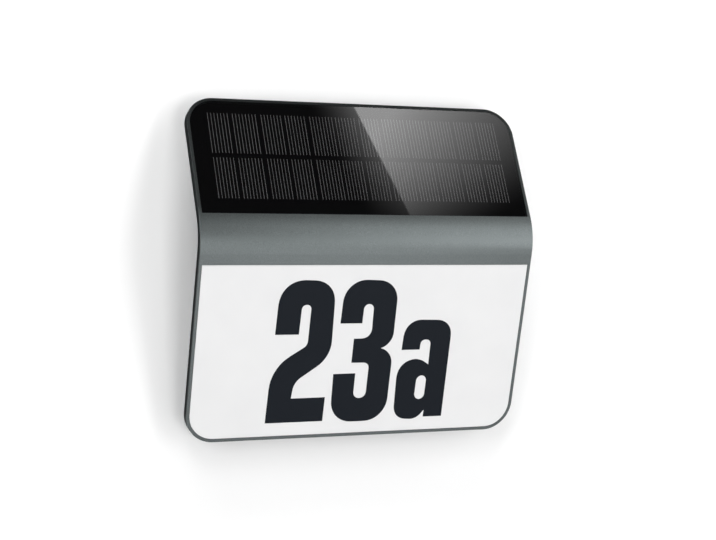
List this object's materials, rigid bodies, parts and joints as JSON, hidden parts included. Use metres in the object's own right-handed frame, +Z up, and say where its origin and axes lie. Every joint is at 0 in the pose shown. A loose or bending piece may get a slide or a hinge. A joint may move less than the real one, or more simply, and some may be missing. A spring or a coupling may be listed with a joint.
{
  "type": "illuminated house number sign",
  "caption": "Solar house number light: a bent tray with a tilted solar panel above a lit number panel, on a rear housing that hangs on a wall bracket.",
  "frame": {"origin": "on the wall plane, at the centre of the wall bracket's four fixing holes, at mid-height of the light", "axes": "+Z up, -Y out of the wall towards the viewer, +X to the right seen from the front"},
  "size_m": [0.211, 0.049, 0.199],
  "materials": {
    "front_paint": "satin metallic grey paint over a moulded tray",
    "opal": "opal white diffuser, fine satin",
    "clear_guide": "clear light guide with a dotted back",
    "white_film": "white reflector film",
    "solar_glass": "polished toughened glass",
    "solar_cell": "near-black silicon",
    "backsheet": "black sheet",
    "tape": "closed-cell foam tape",
    "rear_plastic": "fine spark texture",
    "seal_rubber": "soft black rubber",
    "screw_steel": "stainless steel",
    "bracket_steel": "black powder coat on steel sheet",
    "battery_wrap": "shrink sleeve",
    "contact_metal": "nickel-plated spring sheet",
    "circuit_board": "green solder mask",
    "chips": "moulded black and white parts",
    "lamp": "lamp with a pale phosphor face",
    "white_plastic": "white moulding",
    "switch_plastic": "smooth black moulding",
    "lead_sleeve": "soft wire sleeve"
  },
  "bodies": {
    "bracket": {"wall_bracket": "bracket_steel"},
    "light_unit": {"front_housing": "front_paint", "solar_glass": "solar_glass", "solar_backsheet": "backsheet", "solar_cells": "solar_cell", "solar_tape": "tape", "number_panel": "opal", "light_guide": "clear_guide", "reflector_film": "white_film", "leds": "lamp", "led_board": "circuit_board", "led_carrier": "white_plastic", "rear_housing": "rear_plastic", "housing_seal": "seal_rubber", "housing_screws": "screw_steel", "battery_cell": "battery_wrap", "battery_contacts": "contact_metal", "battery_door": "rear_plastic", "door_seal": "seal_rubber", "door_screws": "screw_steel", "control_board": "circuit_board", "board_screws": "screw_steel", "board_components": "chips", "switch_body": "switch_plastic", "solar_leads": "lead_sleeve", "led_leads": "lead_sleeve", "battery_leads": "lead_sleeve"},
    "mode_knob": {"switch_knob": "switch_plastic"},
    "lock_screw": {"lock_screw": "screw_steel"}
  },
  "joints": [
    {"name": "unit_lift", "type": "slide", "parent": "bracket", "child": "light_unit", "axis": [0, 0, 1], "range_m": [0, 0.01]},
    {"name": "mode_slide", "type": "slide", "parent": "light_unit", "child": "mode_knob", "axis": [1, 0, 0], "range_m": [-0.0025, 0.0025]},
    {"name": "lock_screw_out", "type": "slide", "parent": "light_unit", "child": "lock_screw", "axis": [0, 0, -1], "range_m": [0, 0.008]}
  ]
}
